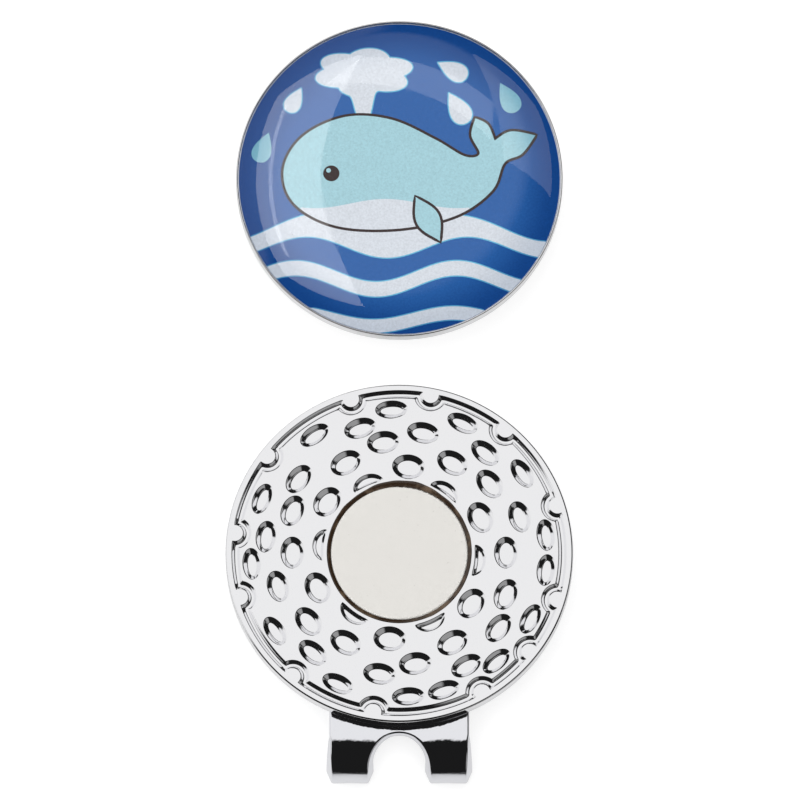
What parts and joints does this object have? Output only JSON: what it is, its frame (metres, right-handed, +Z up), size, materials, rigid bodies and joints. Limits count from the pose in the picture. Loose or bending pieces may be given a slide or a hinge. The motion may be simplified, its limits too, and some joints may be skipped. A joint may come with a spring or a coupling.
{
  "type": "ball marker",
  "caption": "Round domed golf ball marker with a magnetic hat clip: a dimpled disc holding a magnet, on a bent spring clip.",
  "frame": {"origin": "on the surface the clip lies on, under the middle of the clip and marker laid out in a row", "axes": "+Y from the clip to the marker, +Z up out of the marker's face and the disc's front, +X to the right"},
  "size_m": [0.0254, 0.0564, 0.0086],
  "materials": {
    "chromed_casting": "bright chrome over a die casting",
    "chromed_spring": "bright chrome over spring steel",
    "magnet_plating": "satin nickel plating with fine specks",
    "plated_steel": "bright plating",
    "adhesive": "set adhesive",
    "print": "printed film, blue and white",
    "clear_resin": "clear glossy resin"
  },
  "bodies": {
    "clip": {"clip_disc": "chromed_casting", "magnet": "magnet_plating", "magnet_glue": "adhesive", "clip_plate": "chromed_spring"},
    "tongue": {"clip_tongue": "chromed_spring"},
    "marker": {"marker_base": "plated_steel", "print_glue": "adhesive", "marker_print": "print", "marker_dome": "clear_resin"}
  },
  "joints": [
    {"name": "marker_slide", "type": "slide", "parent": "clip", "child": "marker", "axis": [0, -1, 0], "range_m": [0, 0.028]},
    {"name": "tongue_flex", "type": "hinge", "parent": "clip", "child": "tongue", "pos_m": [0, -0.02571, 0.00245], "axis": [-1, 0, 0], "range_deg": [0, 8], "stiffness_Nm_per_rad": 0.4, "springref_deg": -2.86}
  ]
}
